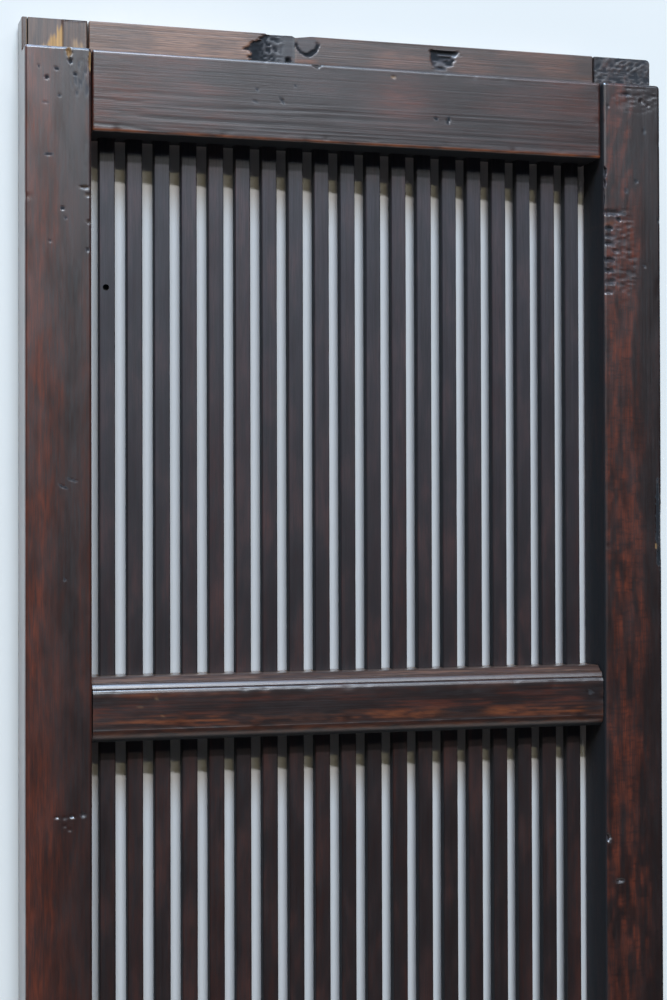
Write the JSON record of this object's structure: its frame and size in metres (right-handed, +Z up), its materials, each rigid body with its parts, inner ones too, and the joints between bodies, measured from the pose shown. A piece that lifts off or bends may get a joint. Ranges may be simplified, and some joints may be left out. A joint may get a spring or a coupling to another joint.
{
  "type": "lattice door",
  "caption": "Sliding door leaf of dark stained wood: two stiles, a top rail with a track tongue, moulded mid rails and a close row of upright slats set back in the frame.",
  "frame": {"origin": "centre of the leaf's bounding box, at the underside of the foot tongue", "axes": "+Z up, +X to the right seen from the front, the front faces -Y and the tongues are flush with the back at +Y"},
  "size_m": [0.44, 0.036, 1.7],
  "materials": {
    "stile_wood": "dark brown stained softwood, worn varnish, dents and bare patches",
    "rail_wood": "dark brown stained softwood with level grain, worn varnish",
    "slat_wood": "dark grey-brown stained softwood, dull"
  },
  "bodies": {
    "root": {"left_stile": "stile_wood", "right_stile": "stile_wood", "top_rail": "rail_wood", "mid_rail_1": "rail_wood", "mid_rail_2": "rail_wood", "mid_rail_3": "rail_wood", "bottom_rail": "rail_wood", "slat_01": "slat_wood", "slat_02": "slat_wood", "slat_03": "slat_wood", "slat_04": "slat_wood", "slat_05": "slat_wood", "slat_06": "slat_wood", "slat_07": "slat_wood", "slat_08": "slat_wood", "slat_09": "slat_wood", "slat_10": "slat_wood", "slat_11": "slat_wood", "slat_12": "slat_wood", "slat_13": "slat_wood", "slat_14": "slat_wood", "slat_15": "slat_wood", "slat_16": "slat_wood", "slat_17": "slat_wood", "slat_18": "slat_wood", "slat_19": "slat_wood"}
  },
  "joints": []
}
